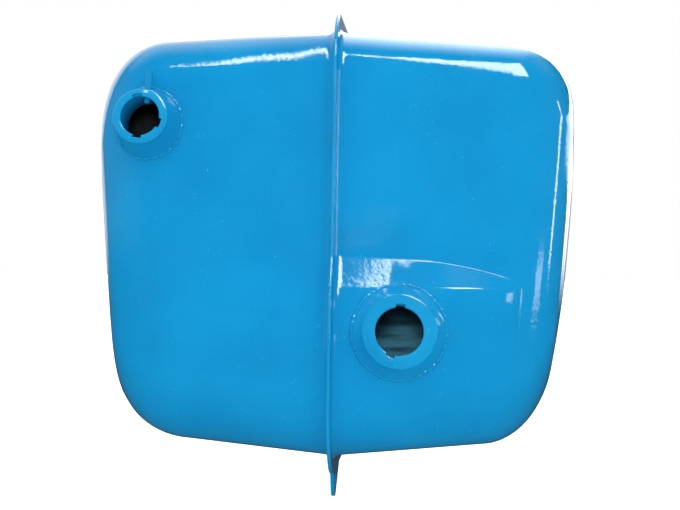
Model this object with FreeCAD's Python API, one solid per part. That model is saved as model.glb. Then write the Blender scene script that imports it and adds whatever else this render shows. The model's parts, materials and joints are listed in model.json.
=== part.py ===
import FreeCAD, Part
import math
import os

# Coolant expansion vessel: two deep-drawn steel half shells joined at an upright seam flange,
# with a filler neck low on the right, a pressure-cap neck high on the left, an overflow tube,
# a feed pipe and two vent nipples on the back, and ears for bolting it to a bracket.
#
# Frame: +X across the vessel (the draw direction of the right half), +Y to the back,
# +Z up.  The seam plane is x = 0.  The origin is midway between the two rear ear bolt holes.

# --- sheet and bolts ---
SHEET = 1.5
BOLT_HOLE_R = 5.25

# --- rear ears, which carry the origin ---
EAR_HOLE_SPACING = 220.0
EAR_TIP_R = 20.0
EAR_ROOT_HALF = 34.0
BOLT_LINE_TO_SHELL = 35.0

# --- shell at the seam ---
SHELL_HEIGHT = 352.4
SHELL_DEPTH = 178.0
TOP_Z = SHELL_HEIGHT / 2
FOOT_Z = -SHELL_HEIGHT / 2
BACK_Y = -BOLT_LINE_TO_SHELL
FRONT_Y = BACK_Y - SHELL_DEPTH
TOP_EDGE_R = 42.0
FOOT_EDGE_R = 55.0
FRONT_CROWN = 3.0
FRONT_LEAN = 0.02

# --- the lower front stands forward below a ledge ---
LEDGE_TOP_Z = -10.0
LEDGE_HEIGHT = 26.5
LEDGE_DEPTH = 22.0
LEDGE_DROP = 0.8
LEDGE_MARGIN = 8.0

# --- draft of the drawn walls, degrees ---
TOP_DRAFT = 3.46
FOOT_DRAFT = 3.71
SIDE_DRAFT = 3.0

# --- each half: reach from the seam, end corner length, end corner radii top and foot,
#     and how quickly the ledge fades away from the seam (1 is evenly) ---
LEFT = {"side": -1, "reach": 205.3, "corner": 60.3, "top_r": 70.4, "foot_r": 43.2, "fade": 1.7}
RIGHT = {"side": 1, "reach": 198.7, "corner": 55.3, "top_r": 52.8, "foot_r": 62.2, "fade": 1.0}
END_SIDE_R = 40.0
END_DOME = 6.4
END_TILT = 0.000385
TILT_CENTRE_Z = 30.0
CAP_SCALE = 0.08

# --- seam flange ---
FLANGE_WIDTH = 14.2
BEND_R = 5.0
EDGE_BEAD = 0.8
EDGE_BEAD_HALF = 1.1
LUG_TIP_R = 20.0
LUG_TIP_DROP = 36.5
LUG_BACK_FROM_FRONT = 45.0
LUG_BACK_ROOT = 82.0
LUG_FRONT_ROOT = 52.0
LUG_FRONT_RISE = 30.0
LUG_HOLE_DROP = 22.5

# --- filler neck, low on the right front; its place is a share of the reach and half height ---
FILLER_REACH_SHARE = 0.2743
FILLER_HEIGHT_SHARE = -0.4064
FILLER_AXIS = (0.036, -0.994, 0.094)
FILLER = {"rise": 18.0, "lip_r": 30.2, "mouth_r": 19.1, "tube_r": 22.7, "base_r": 37.5,
          "shoulder_r": 28.2, "inside": 8.0, "notches": (88.0, 250.0)}

# --- pressure-cap neck, high on the left front ---
PRESSURE_REACH_SHARE = 0.7555
PRESSURE_HEIGHT_SHARE = 0.5443
PRESSURE_AXIS = (-0.081, -0.983, 0.162)
PRESSURE = {"rise": 26.0, "lip_r": 22.0, "mouth_r": 16.0, "tube_r": 19.2, "base_r": 28.4,
            "shoulder_r": 20.9, "inside": 5.0, "notches": (100.0, 340.0, 265.0)}

# --- shared by both necks ---
NECK_WALL = 1.6
LIP_THICK = 3.0
LIP_EDGE_R = 1.1
NOTCH_WIDTH = 7.0
NOTCH_DEPTH = 2.6
SKIRT = 30.0
WELD_RISE = 2.2
WELD_WIDTH = 3.0

# --- overflow tube on the pressure neck, from points beside the neck's foot ---
OVERFLOW_R = 2.75
OVERFLOW_SHANK_R = 2.4
OVERFLOW_SHANK = 11.0
OVERFLOW_BORE_R = 1.8
OVERFLOW_START = (1.6, -13.0, 15.3)
OVERFLOW_TOP = (3.3, -10.0, 43.5)
OVERFLOW_BRAZE = 1.3

# --- feed pipe and vent nipples on the back ---
FEED_PIPE = {"across": -0.35, "up": -0.67, "r": 16.0, "wall": 2.0, "reach": 45.0, "inside": 6.0}
FEED_COLLAR_R = 24.0
FEED_COLLAR_THICK = 2.5
HOSE_BEAD = 1.0
HOSE_END = 10.0
VENT_TOP = {"across": 0.46, "up": 0.75, "r": 5.0, "wall": 1.25, "reach": 32.0, "inside": 4.0}
VENT_LOW = {"across": 0.46, "up": 0.56, "r": 5.0, "wall": 1.25, "reach": 32.0, "inside": 4.0}

CORNER_SHARE = 0.45
WALL_STATIONS = 5
CORNER_STATIONS = 7
DOME_SCALES = (0.85, 0.62, 0.36, CAP_SCALE)


def tan(degrees):
    return math.tan(math.radians(degrees))


def smooth_step(value):
    value = min(1.0, max(0.0, value))
    return value * value * (3 - 2 * value)


def front_line(half, x, rounding, top, foot):
    """Gives the function y(z) of the front wall at one station along the draw."""
    fade = max(0.0, 1 - x / (half["reach"] - 0.75 * half["corner"])) ** half["fade"]
    sink = LEDGE_HEIGHT * LEDGE_DROP * min(1.0, x / 158.0) ** 2.5
    ledge_top = LEDGE_TOP_Z - sink
    ledge_run = LEDGE_HEIGHT - sink
    middle = (top + foot) / 2
    half_height = (top - foot) / 2

    def y_at(z):
        step = smooth_step((ledge_top - z) / ledge_run)
        crown = FRONT_CROWN * (1 - ((z - middle) / half_height) ** 2)
        lean = FRONT_LEAN * (z - LEDGE_TOP_Z)
        draft = x * tan(SIDE_DRAFT) + END_SIDE_R * rounding
        return FRONT_Y + draft - LEDGE_DEPTH * fade * step + lean - crown

    return y_at


def quarter(start, end, first_turn, count):
    """Points round one rounded corner, from start to end, both left out."""
    points = []
    for i in range(1, count):
        turn = math.pi / 2 * i / count
        along = math.sin(turn)
        across = 1 - math.cos(turn)
        if first_turn == "z":
            points.append((start[0] + (end[0] - start[0]) * across,
                           start[1] + (end[1] - start[1]) * along))
        else:
            points.append((start[0] + (end[0] - start[0]) * along,
                           start[1] + (end[1] - start[1]) * across))
    return points


def between(start, end, count):
    """Evenly spaced points from start to end, both kept."""
    return [(start[0] + (end[0] - start[0]) * i / count,
             start[1] + (end[1] - start[1]) * i / count) for i in range(count + 1)]


def top_and_foot(half, x, rounding):
    """The heights of a half shell's top and foot at one station."""
    top = TOP_Z - x * tan(TOP_DRAFT) - half["top_r"] * rounding
    foot = FOOT_Z + x * tan(FOOT_DRAFT) + half["foot_r"] * rounding
    return top, foot


def end_corner_x(half):
    """How far from the seam the rounding into the end begins."""
    return half["reach"] - half["corner"] - END_DOME


def front_point(half, reach_share, height_share):
    """The point on the front skin at shares of the half's reach and the shell's half height."""
    x = reach_share * half["reach"]
    z = height_share * TOP_Z
    tilt = END_TILT * (z - TILT_CENTRE_Z)
    station = (x + SHEET * tilt) / (1 + tilt)
    turn = math.asin(max(0.0, station - end_corner_x(half)) / half["corner"])
    rounding = 1 - math.cos(turn)
    top, foot = top_and_foot(half, station, rounding)
    y = front_line(half, station, rounding, top, foot)(z)
    return (half["side"] * x, y, z)


def section(half, x, rounding=0.0, grow=0.0):
    """The closed (y, z) outline of a half shell at one station, grown outward by grow."""
    top, foot = top_and_foot(half, x, rounding)
    back = BACK_Y - x * tan(SIDE_DRAFT) - END_SIDE_R * rounding + grow
    y_at = front_line(half, x, rounding, top, foot)
    top += grow
    foot -= grow
    top_r = TOP_EDGE_R + grow
    foot_r = FOOT_EDGE_R + grow
    high = top - top_r
    low = foot + foot_r
    zone_top = LEDGE_TOP_Z + LEDGE_MARGIN
    zone_foot = max(low + LEDGE_MARGIN, LEDGE_TOP_Z - LEDGE_HEIGHT - LEDGE_MARGIN)
    heights = [high + (zone_top - high) * i / 5 for i in range(5)]
    heights += [zone_top + (zone_foot - zone_top) * i / 10 for i in range(10)]
    heights += [zone_foot + (low - zone_foot) * i / 4 for i in range(5)]
    front = []
    for z in heights:
        slope = y_at(z + 0.5) - y_at(z - 0.5)
        front.append((y_at(z) - grow * math.hypot(1, slope), z))
    low_front = front[-1]
    high_front = front[0]
    foot_run = min(foot_r, CORNER_SHARE * (back - low_front[0]))
    top_run = min(top_r, CORNER_SHARE * (back - high_front[0]))
    foot_front = (low_front[0] + foot_run, foot)
    foot_back = (back - foot_run, foot)
    low_back = (back, low)
    high_back = (back, high)
    top_back = (back - top_run, top)
    top_front = (high_front[0] + top_run, top)
    loop = front
    loop += quarter(low_front, foot_front, "z", 5)
    loop += between(foot_front, foot_back, 3)
    loop += quarter(foot_back, low_back, "y", 5)
    loop += between(low_back, high_back, 5)
    loop += quarter(high_back, top_back, "z", 5)
    loop += between(top_back, top_front, 3)
    loop += quarter(top_front, high_front, "y", 5)
    return loop


def row(half, x, loop):
    """Sets an outline at a distance x from the seam, leaning with the ends."""
    points = []
    for y, z in loop:
        tilt = max(0.0, x - SHEET) * END_TILT * (z - TILT_CENTRE_Z)
        points.append(FreeCAD.Vector(half["side"] * (x + tilt), y, z))
    return points


def shell_rows(half, inset, grow=0.0):
    """Rows of points for one face of the sheet: inset is 0 for the outside, SHEET for the inside."""
    rows = []
    bend_x = SHEET + BEND_R
    for i in range(5):
        turn = math.pi / 2 * i / 4
        x = bend_x - (BEND_R + inset) * math.cos(turn)
        offset = BEND_R - (BEND_R + inset) * math.sin(turn)
        rows.append(row(half, x, section(half, x, 0.0, offset + grow)))
    corner_x = end_corner_x(half)
    for i in range(1, WALL_STATIONS):
        x = bend_x + (corner_x - bend_x) * i / (WALL_STATIONS - 1)
        rows.append(row(half, x, section(half, x, 0.0, grow - inset)))
    for i in range(1, CORNER_STATIONS + 1):
        turn = math.radians(84) * i / CORNER_STATIONS
        rounding = 1 - math.cos(turn)
        x = corner_x + (half["corner"] - inset + grow) * math.sin(turn)
        last = section(half, x, rounding, (grow - inset) * math.cos(turn))
        rows.append(row(half, x, last))
    centre = (sum(p[0] for p in last) / len(last), sum(p[1] for p in last) / len(last))
    for scale in DOME_SCALES:
        loop = [(centre[0] + (y - centre[0]) * scale, centre[1] + (z - centre[1]) * scale)
                for y, z in last]
        rows.append(row(half, x + END_DOME * (1 - scale ** 2), loop))
    return rows


def smooth_face(rows):
    """One smooth face through a grid of points, closed round the loop."""
    across = len(rows)
    around = len(rows[0])
    surface = Part.BSplineSurface()
    surface.buildFromPolesMultsKnots(
        rows,
        [4] + [1] * (across - 4) + [4],
        [1] * (around + 1),
        [float(i) for i in range(across - 2)],
        [float(i) for i in range(around + 1)],
        False, True, 3, 3)
    return surface.toShape()


def rim_face(points):
    """The flat face inside a smooth closed loop of points."""
    count = len(points)
    curve = Part.BSplineCurve()
    curve.buildFromPolesMultsKnots(points, [1] * (count + 1), [float(i) for i in range(count + 1)],
                                   True, 3)
    return Part.Face(Part.Wire(curve.toShape()))


def closed_solid(faces):
    """Joins faces that share their edges into one solid."""
    shell = Part.Shell(faces)
    shell.sewShape()
    solid = Part.Solid(shell)
    if solid.Volume < 0:
        shell.reverse()
        solid = Part.Solid(shell)
    return solid


def full_body(half, grow=0.0):
    """The half vessel as a solid lump, with its outside grown by grow."""
    rows = shell_rows(half, 0.0, grow)
    return closed_solid([smooth_face(rows), rim_face(rows[0]), rim_face(rows[-1])])


def tab_face(tip, tip_r, root_a, root_b):
    """A flat tongue in the seam plane: two straight flanks meeting a round tip.

    The roots are (y, z) points, the first met when going clockwise from the tip.
    """
    def tangent(root, sign):
        away = math.hypot(root[0] - tip[0], root[1] - tip[1])
        bearing = math.atan2(root[1] - tip[1], root[0] - tip[0])
        turn = bearing + sign * math.acos(tip_r / away)
        return (tip[0] + tip_r * math.cos(turn), tip[1] + tip_r * math.sin(turn))

    def in_plane(point):
        return FreeCAD.Vector(0, point[0], point[1])

    touch_a = tangent(root_a, 1)
    touch_b = tangent(root_b, -1)
    middle = ((root_a[0] + root_b[0]) / 2, (root_a[1] + root_b[1]) / 2)
    reach = math.hypot(tip[0] - middle[0], tip[1] - middle[1])
    nose = (tip[0] + (tip[0] - middle[0]) * tip_r / reach,
            tip[1] + (tip[1] - middle[1]) * tip_r / reach)
    edges = [
        Part.makeLine(in_plane(root_a), in_plane(touch_a)),
        Part.Arc(in_plane(touch_a), in_plane(nose), in_plane(touch_b)).toShape(),
        Part.makeLine(in_plane(touch_b), in_plane(root_b)),
        Part.makeLine(in_plane(root_b), in_plane(root_a)),
    ]
    return Part.Face(Part.Wire(edges))


def lug_tip():
    return (FRONT_Y + LUG_BACK_FROM_FRONT, FOOT_Z - LUG_TIP_DROP + LUG_TIP_R)


def bolt_centres():
    """The (y, z) centres of the bolt holes: two rear ears, then the front lug."""
    half_spacing = EAR_HOLE_SPACING / 2
    return [(0.0, half_spacing), (0.0, -half_spacing), (lug_tip()[0], FOOT_Z - LUG_HOLE_DROP)]


def flange_plate(side):
    """One flange sheet with its lug, ears and bolt holes, solid where the dish will be."""
    lift = FreeCAD.Vector(side * SHEET, 0, 0)
    ring = rim_face(row(RIGHT, 0.0, section(RIGHT, 0.0, 0.0, FLANGE_WIDTH)))
    tip = lug_tip()
    tabs = [tab_face(tip, LUG_TIP_R, (tip[0] - LUG_FRONT_ROOT, FOOT_Z + LUG_FRONT_RISE),
                     (tip[0] + LUG_BACK_ROOT, FOOT_Z))]
    for sign in (1, -1):
        z = sign * EAR_HOLE_SPACING / 2
        tabs.append(tab_face((0.0, z), EAR_TIP_R, (BACK_Y, z - EAR_ROOT_HALF),
                             (BACK_Y, z + EAR_ROOT_HALF)))
    plate = ring.extrude(lift)
    for tab in tabs:
        plate = plate.fuse(tab.extrude(lift))
    plate = plate.removeSplitter()
    for y, z in bolt_centres():
        start = FreeCAD.Vector(-2 * SHEET, y, z)
        plate = plate.cut(Part.makeCylinder(BOLT_HOLE_R, 4 * SHEET, start, FreeCAD.Vector(1, 0, 0)))
    return plate


def half_shell(half, openings):
    """One drawn half: dished sheet, fillet, flange with lug and ears, and its openings."""
    outside = shell_rows(half, 0.0)
    inside = shell_rows(half, SHEET)
    faces = [smooth_face(outside), rim_face(outside[-1]), smooth_face(inside), rim_face(inside[-1])]
    for face in flange_plate(half["side"]).Faces:
        middle = abs(face.CenterOfMass.x)
        if middle < SHEET / 4:
            faces.append(face.cut(rim_face(inside[0])).Faces[0])
        elif middle > SHEET * 3 / 4:
            faces.append(face.cut(rim_face(outside[0])).Faces[0])
        else:
            faces.append(face)
    shell = closed_solid(faces)
    for opening in openings:
        shell = shell.cut(opening)
    return shell


def turned(profile, base, axis):
    """Spins an (r, s) profile about the axis through base, s being the height along it."""
    points = [FreeCAD.Vector(r, 0, s) for r, s in profile]
    wire = Part.makePolygon(points + points[:1])
    solid = Part.Face(wire).revolve(FreeCAD.Vector(), FreeCAD.Vector(0, 0, 1), 360)
    solid.Placement = placement(base, axis)
    return solid


def placement(base, axis):
    """Puts local +Z on the axis with local +Y kept as upright as it can be."""
    z_axis = FreeCAD.Vector(*axis).normalize()
    x_axis = FreeCAD.Vector(0, 0, 1).cross(z_axis)
    if x_axis.Length < 0.01:
        x_axis = FreeCAD.Vector(1, 0, 0)
    x_axis.normalize()
    y_axis = z_axis.cross(x_axis)
    turn = FreeCAD.Rotation(x_axis, y_axis, z_axis, "ZXY")
    return FreeCAD.Placement(FreeCAD.Vector(*base), turn)


def rod(r, start, end, base, axis):
    """A plain cylinder between two heights on an axis."""
    cylinder = Part.makeCylinder(r, end - start, FreeCAD.Vector(0, 0, start))
    cylinder.Placement = placement(base, axis)
    return cylinder


def neck_tube(neck, base, axis):
    outer = rod(neck["tube_r"], -neck["inside"], neck["rise"] - LIP_THICK, base, axis)
    inner = rod(neck["tube_r"] - NECK_WALL, -neck["inside"], neck["rise"] - LIP_THICK, base, axis)
    return outer.cut(inner)


def neck_collar(neck, base, axis, body):
    """The flared skirt between the shell and the lip, trimmed to the shell's skin."""
    under_lip = neck["rise"] - LIP_THICK
    flare = neck["base_r"] - neck["shoulder_r"]
    profile = [(neck["tube_r"], -SKIRT), (neck["base_r"], -SKIRT), (neck["base_r"], 1.5)]
    for i in range(1, 6):
        turn = math.pi / 2 * i / 6
        profile.append((neck["base_r"] - flare * math.sin(turn),
                        1.5 + (under_lip - 1.5) * 0.75 * (1 - math.cos(turn))))
    profile += [(neck["shoulder_r"], under_lip), (neck["tube_r"], under_lip)]
    return turned(profile, base, axis).cut(body)


def neck_lip(neck, base, axis):
    """The cap seat ring with its bayonet notches and rounded rim."""
    top = neck["rise"]
    under = top - LIP_THICK
    profile = [(neck["mouth_r"], under), (neck["lip_r"] - LIP_EDGE_R, under)]
    profile += [(neck["lip_r"], under + LIP_EDGE_R), (neck["lip_r"], top - LIP_EDGE_R)]
    profile += [(neck["lip_r"] - LIP_EDGE_R, top), (neck["mouth_r"], top)]
    lip = turned(profile, base, axis)
    for angle in neck["notches"]:
        notch = Part.makeBox(neck["mouth_r"] + NOTCH_DEPTH, NOTCH_WIDTH, 3 * LIP_THICK,
                             FreeCAD.Vector(0, -NOTCH_WIDTH / 2, under - LIP_THICK))
        notch.rotate(FreeCAD.Vector(), FreeCAD.Vector(0, 0, 1), angle)
        notch.Placement = placement(base, axis).multiply(notch.Placement)
        lip = lip.cut(notch)
    return lip


def foot_weld(r, base, axis, body, grown_body):
    """A bead lying on the shell's skin against the foot of a round fitting."""
    bead = rod(r + WELD_WIDTH, -SKIRT, SKIRT, base, axis)
    bead = bead.cut(rod(r, -SKIRT, SKIRT, base, axis))
    return bead.common(grown_body).cut(body)


def filler_base():
    return front_point(RIGHT, FILLER_REACH_SHARE, FILLER_HEIGHT_SHARE)


def pressure_base():
    return front_point(LEFT, PRESSURE_REACH_SHARE, PRESSURE_HEIGHT_SHARE)


def overflow_start():
    return tuple(a + b for a, b in zip(pressure_base(), OVERFLOW_START))


def overflow_run():
    return FreeCAD.Vector(*OVERFLOW_TOP).sub(FreeCAD.Vector(*OVERFLOW_START))


def overflow_rod(r, length):
    return rod(r, 0.0, length, overflow_start(), tuple(overflow_run()))


def overflow_tube():
    """A small tube standing up from the neck, stepped down where it goes through the wall."""
    top = overflow_run().Length
    profile = [(OVERFLOW_BORE_R, 0.0), (OVERFLOW_SHANK_R, 0.0), (OVERFLOW_SHANK_R, OVERFLOW_SHANK),
               (OVERFLOW_R, OVERFLOW_SHANK), (OVERFLOW_R, top), (OVERFLOW_BORE_R, top)]
    return turned(profile, overflow_start(), tuple(overflow_run()))


def overflow_braze(body):
    """A thin ring of braze lying on the collar where the overflow tube leaves it."""
    thicker = dict(PRESSURE)
    thicker["shoulder_r"] = PRESSURE["shoulder_r"] + OVERFLOW_BRAZE
    thicker["base_r"] = PRESSURE["base_r"] + OVERFLOW_BRAZE
    skin = neck_collar(thicker, pressure_base(), PRESSURE_AXIS, body)
    skin = skin.cut(neck_collar(PRESSURE, pressure_base(), PRESSURE_AXIS, body))
    ring = overflow_rod(OVERFLOW_R + OVERFLOW_BRAZE, OVERFLOW_SHANK)
    ring = ring.cut(overflow_rod(OVERFLOW_SHANK_R, OVERFLOW_SHANK))
    return ring.common(skin)


def back_point(pipe):
    """Where a back fitting's axis meets the back wall, from shares of the reach and half height."""
    half = RIGHT if pipe["across"] > 0 else LEFT
    x = pipe["across"] * half["reach"]
    return (x, BACK_Y - abs(x) * tan(SIDE_DRAFT), pipe["up"] * TOP_Z)


def back_pipe(pipe):
    """A plain tube through the back wall with a raised hose bead behind its plain end."""
    base = back_point(pipe)
    bead_at = pipe["reach"] - HOSE_END - 2 * HOSE_BEAD
    profile = [(pipe["r"], -pipe["inside"]), (pipe["r"], bead_at - 2 * HOSE_BEAD),
               (pipe["r"] + HOSE_BEAD, bead_at - HOSE_BEAD / 2),
               (pipe["r"] + HOSE_BEAD, bead_at + HOSE_BEAD / 2),
               (pipe["r"], bead_at + 2 * HOSE_BEAD), (pipe["r"], pipe["reach"]),
               (pipe["r"] - pipe["wall"], pipe["reach"]), (pipe["r"] - pipe["wall"], -pipe["inside"])]
    return turned(profile, base, (0, 1, 0))


def feed_collar(body):
    """A flat pad ring that stiffens the back wall round the feed pipe."""
    base = back_point(FEED_PIPE)
    pad = rod(FEED_COLLAR_R, -SKIRT / 3, FEED_COLLAR_THICK, base, (0, 1, 0))
    return pad.cut(rod(FEED_PIPE["r"], -SKIRT, SKIRT, base, (0, 1, 0))).cut(body)


def seam_welds():
    """Edge beads closing the two flanges, one run between each pair of tongues."""
    grown = rim_face(row(RIGHT, 0.0, section(RIGHT, 0.0, 0.0, FLANGE_WIDTH + EDGE_BEAD)))
    grown.translate(FreeCAD.Vector(-EDGE_BEAD_HALF, 0, 0))
    bead = grown.extrude(FreeCAD.Vector(2 * EDGE_BEAD_HALF, 0, 0))
    runs = bead.cut(flange_plate(1)).cut(flange_plate(-1)).Solids
    runs.sort(key=lambda run: run.Volume)
    return runs


def build():
    left_body = full_body(LEFT)
    right_body = full_body(RIGHT)
    left_grown = full_body(LEFT, WELD_RISE)
    right_grown = full_body(RIGHT, WELD_RISE)

    filler = (FILLER, filler_base(), FILLER_AXIS)
    pressure = (PRESSURE, pressure_base(), PRESSURE_AXIS)
    filler_hole = rod(FILLER["tube_r"], -SKIRT, SKIRT, filler_base(), FILLER_AXIS)
    pressure_hole = rod(PRESSURE["tube_r"], -SKIRT, SKIRT, pressure_base(), PRESSURE_AXIS)
    pipe_holes = {}
    for name, pipe in (("feed", FEED_PIPE), ("top", VENT_TOP), ("low", VENT_LOW)):
        pipe_holes[name] = rod(pipe["r"], -SKIRT, SKIRT, back_point(pipe), (0, 1, 0))

    overflow_hole = overflow_rod(OVERFLOW_SHANK_R, OVERFLOW_SHANK)
    pieces = {
        "left_half_shell": half_shell(LEFT, [pressure_hole, pipe_holes["feed"]]),
        "right_half_shell": half_shell(RIGHT, [filler_hole, pipe_holes["top"], pipe_holes["low"]]),
        "filler_neck_tube": neck_tube(*filler),
        "filler_neck_collar": neck_collar(*filler, right_body),
        "filler_neck_lip": neck_lip(*filler),
        "filler_neck_weld": foot_weld(FILLER["base_r"], filler_base(), FILLER_AXIS,
                                      right_body, right_grown),
        "pressure_neck_tube": neck_tube(*pressure).cut(overflow_hole),
        "pressure_neck_collar": neck_collar(*pressure, left_body).cut(overflow_hole),
        "pressure_neck_lip": neck_lip(*pressure),
        "pressure_neck_weld": foot_weld(PRESSURE["base_r"], pressure_base(), PRESSURE_AXIS,
                                        left_body, left_grown),
        "overflow_tube": overflow_tube(),
        "feed_pipe": back_pipe(FEED_PIPE),
        "feed_pipe_collar": feed_collar(left_body),
        "feed_pipe_weld": foot_weld(FEED_COLLAR_R, back_point(FEED_PIPE), (0, 1, 0),
                                    left_body, left_grown),
        "upper_vent_nipple": back_pipe(VENT_TOP),
        "upper_vent_weld": foot_weld(VENT_TOP["r"], back_point(VENT_TOP), (0, 1, 0),
                                     right_body, right_grown),
        "lower_vent_nipple": back_pipe(VENT_LOW),
        "lower_vent_weld": foot_weld(VENT_LOW["r"], back_point(VENT_LOW), (0, 1, 0),
                                     right_body, right_grown),
    }
    pieces["overflow_tube_braze"] = overflow_braze(left_body)
    runs = seam_welds()
    for name, run in zip(("seam_weld_back", "seam_weld_foot", "seam_weld_front"), runs):
        pieces[name] = run
    return pieces


os.makedirs("parts", exist_ok=True)
for name, shape in build().items():
    shape.exportStep("parts/" + name + ".step")
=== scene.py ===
import json

import bpy
import numpy as np
from mathutils import Matrix, Vector


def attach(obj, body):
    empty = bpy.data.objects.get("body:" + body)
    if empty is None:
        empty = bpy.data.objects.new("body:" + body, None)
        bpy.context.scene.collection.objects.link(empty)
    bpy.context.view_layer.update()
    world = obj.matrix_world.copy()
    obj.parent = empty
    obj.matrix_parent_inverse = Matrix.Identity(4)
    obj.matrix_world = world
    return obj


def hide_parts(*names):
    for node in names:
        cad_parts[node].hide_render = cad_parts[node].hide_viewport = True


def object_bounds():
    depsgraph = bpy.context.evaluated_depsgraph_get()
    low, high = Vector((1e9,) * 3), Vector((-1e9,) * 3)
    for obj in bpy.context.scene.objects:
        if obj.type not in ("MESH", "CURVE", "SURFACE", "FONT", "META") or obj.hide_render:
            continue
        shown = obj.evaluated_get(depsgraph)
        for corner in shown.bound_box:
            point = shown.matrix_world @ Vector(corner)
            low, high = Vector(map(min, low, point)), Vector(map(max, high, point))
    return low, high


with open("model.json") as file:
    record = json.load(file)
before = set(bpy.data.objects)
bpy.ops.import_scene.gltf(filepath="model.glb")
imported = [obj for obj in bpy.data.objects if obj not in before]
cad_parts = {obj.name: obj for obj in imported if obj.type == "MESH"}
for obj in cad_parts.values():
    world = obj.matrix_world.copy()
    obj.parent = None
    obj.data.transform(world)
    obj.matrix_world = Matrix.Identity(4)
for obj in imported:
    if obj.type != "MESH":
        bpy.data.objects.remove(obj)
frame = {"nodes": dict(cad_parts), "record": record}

CAD_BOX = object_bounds()

# Looks for a painted steel coolant expansion vessel.  Lengths here are in millimetres, in the
# frame's own axes: +X across the vessel, +Y to the back, +Z up, seam at x = 0.  They become
# metres when a mesh is made.
MM = 0.001

# --- sheet and seam flange ---
SHEET = 1.5
FLANGE_WIDTH = 14.2
EDGE_BEAD = 0.8
EDGE_BEAD_HALF = 1.1
BEND_R = 5.0
BOLT_HOLE_R = 5.25

# --- shell at the seam, from the frame's own box ---
SHELL_HEIGHT = 352.4
TOP_Z = SHELL_HEIGHT / 2
FOOT_Z = -SHELL_HEIGHT / 2
BACK_Y = -35.0
FRONT_Y = BACK_Y - 178.0
TOP_EDGE_R = 42.0
FOOT_EDGE_R = 55.0
FRONT_CROWN = 3.0
FRONT_LEAN = 0.02
CORNER_SHARE = 0.45

# --- ledge across the front ---
LEDGE_TOP_Z = -10.0
LEDGE_HEIGHT = 26.5
LEDGE_DROP = 0.8
LEDGE_DROP_REACH = 158.0
LEDGE_NEAR_WIDTH = 50.0

# How steep the ledge is at each share of its height.
LEDGE_FALL = np.linspace(0, 3.0, 601)
EASED_LEDGE = np.interp(LEDGE_FALL, [0, 0.08, 0.96, 1.04, 1.9, 2.5], [0, 1, 1, 0.70, 0.33, 0])
CRISP_LEDGE = np.interp(LEDGE_FALL, [0, 0.03, 0.90, 1.0, 1.3], [0, 1, 1, 0.25, 0])
SOFT_LEDGE = np.interp(LEDGE_FALL, [0, 0.6, 1.1, 3.0], [0, 1, 1, 0])

# --- fine ripples where the ledge runs out: place, half size, spacing and depth ---
RIPPLE_X, RIPPLE_HALF_X = 128.0, 24.0
RIPPLE_Z, RIPPLE_HALF_Z = -29.0, 14.0
RIPPLE_SPACING = 3.7
RIPPLE_DEPTH = 0.05

# --- slopes of the drawn walls ---
TOP_SLOPE = np.tan(np.radians(3.46))
FOOT_SLOPE = np.tan(np.radians(3.71))
SIDE_SLOPE = np.tan(np.radians(3.0))

# --- ends ---
LEFT = {"side": -1, "reach": 205.3, "corner": 60.3, "top_r": 70.4, "foot_r": 43.2,
        "fade": 1.0, "hold": 2.0, "ledge_depth": 22.0,
        "ledge_near": SOFT_LEDGE, "ledge_far": SOFT_LEDGE}
RIGHT = {"side": 1, "reach": 198.7, "corner": 55.3, "top_r": 52.8, "foot_r": 62.2,
         "fade": 0.33, "hold": 5.0, "ledge_depth": 25.0,
         "ledge_near": EASED_LEDGE, "ledge_far": CRISP_LEDGE}
END_SIDE_R = 40.0
END_DOME = 6.4
END_TURN = np.radians(84)
END_TILT = 0.000385
TILT_CENTRE_Z = 30.0

# --- lug and ears: tip centre, tip radius, roots, each (y, z) ---
EAR_TIP_R = 20.0
EAR_ROOT_HALF = 34.0
EAR_Z = 110.0
LUG_TIP = (FRONT_Y + 45.0, FOOT_Z - 16.5)
LUG_HOLE = (LUG_TIP[0], FOOT_Z - 22.5)
TABS = [
    (LUG_TIP, 20.0, (LUG_TIP[0] - 52.0, FOOT_Z + 30.0), (LUG_TIP[0] + 82.0, FOOT_Z)),
    ((0.0, EAR_Z), EAR_TIP_R, (BACK_Y, EAR_Z - EAR_ROOT_HALF), (BACK_Y, EAR_Z + EAR_ROOT_HALF)),
    ((0.0, -EAR_Z), EAR_TIP_R, (BACK_Y, -EAR_Z - EAR_ROOT_HALF), (BACK_Y, -EAR_Z + EAR_ROOT_HALF)),
]
BOLT_CENTRES = [(0.0, EAR_Z), (0.0, -EAR_Z), LUG_HOLE]

# --- necks ---
FILLER = {"rise": 18.0, "lip_r": 30.2, "mouth_r": 19.1, "tube_r": 22.7, "base_r": 37.5,
          "shoulder_r": 28.2, "inside": 8.0, "notches": (88.0, 250.0)}
PRESSURE = {"rise": 26.0, "lip_r": 23.0, "mouth_r": 16.0, "tube_r": 19.2, "base_r": 28.4,
            "shoulder_r": 20.9, "inside": 5.0, "notches": (100.0, 340.0, 265.0)}
NECK_WALL = 1.6
LIP_THICK = 3.0
LIP_ROLL = 4.6
NOTCH_WIDTH = 7.0
NOTCH_DEPTH = 2.6

# --- soft lamps for the body's colour, in metres: name, aim, turn, lift, distance, width,
# height, brightness ---
MIDDLE = (0.0, -0.2, 0.0)
BODY_LAMPS = [
    ("front_fill", MIDDLE, 8, 22, 3.0, 2.6, 2.0, 0.76),
    ("overhead_fill", MIDDLE, 0, 75, 2.6, 2.4, 1.6, 1.0),
    ("side_fill", MIDDLE, 62, 0, 3.0, 1.6, 1.6, 0.6),
    ("key_lamp", (0.055, -0.25, -0.07), 1.2, 7.2, 1.25, 0.12, 0.10, 94.5),
]

# --- soft lamps that show in the gloss, in metres: name, centre, width, height, brightness ---
GLOSS_LAMPS = [
    ("window", (1.9, -3.2, 4.7), 2.2, 3.0, 16.0),
    ("right_strip", (3.13, -0.2, 0.35), 0.22, 1.1, 12.0),
    ("low_strip", (2.9, -1.3, -0.2), 0.6, 0.12, 6.0),
]

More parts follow.
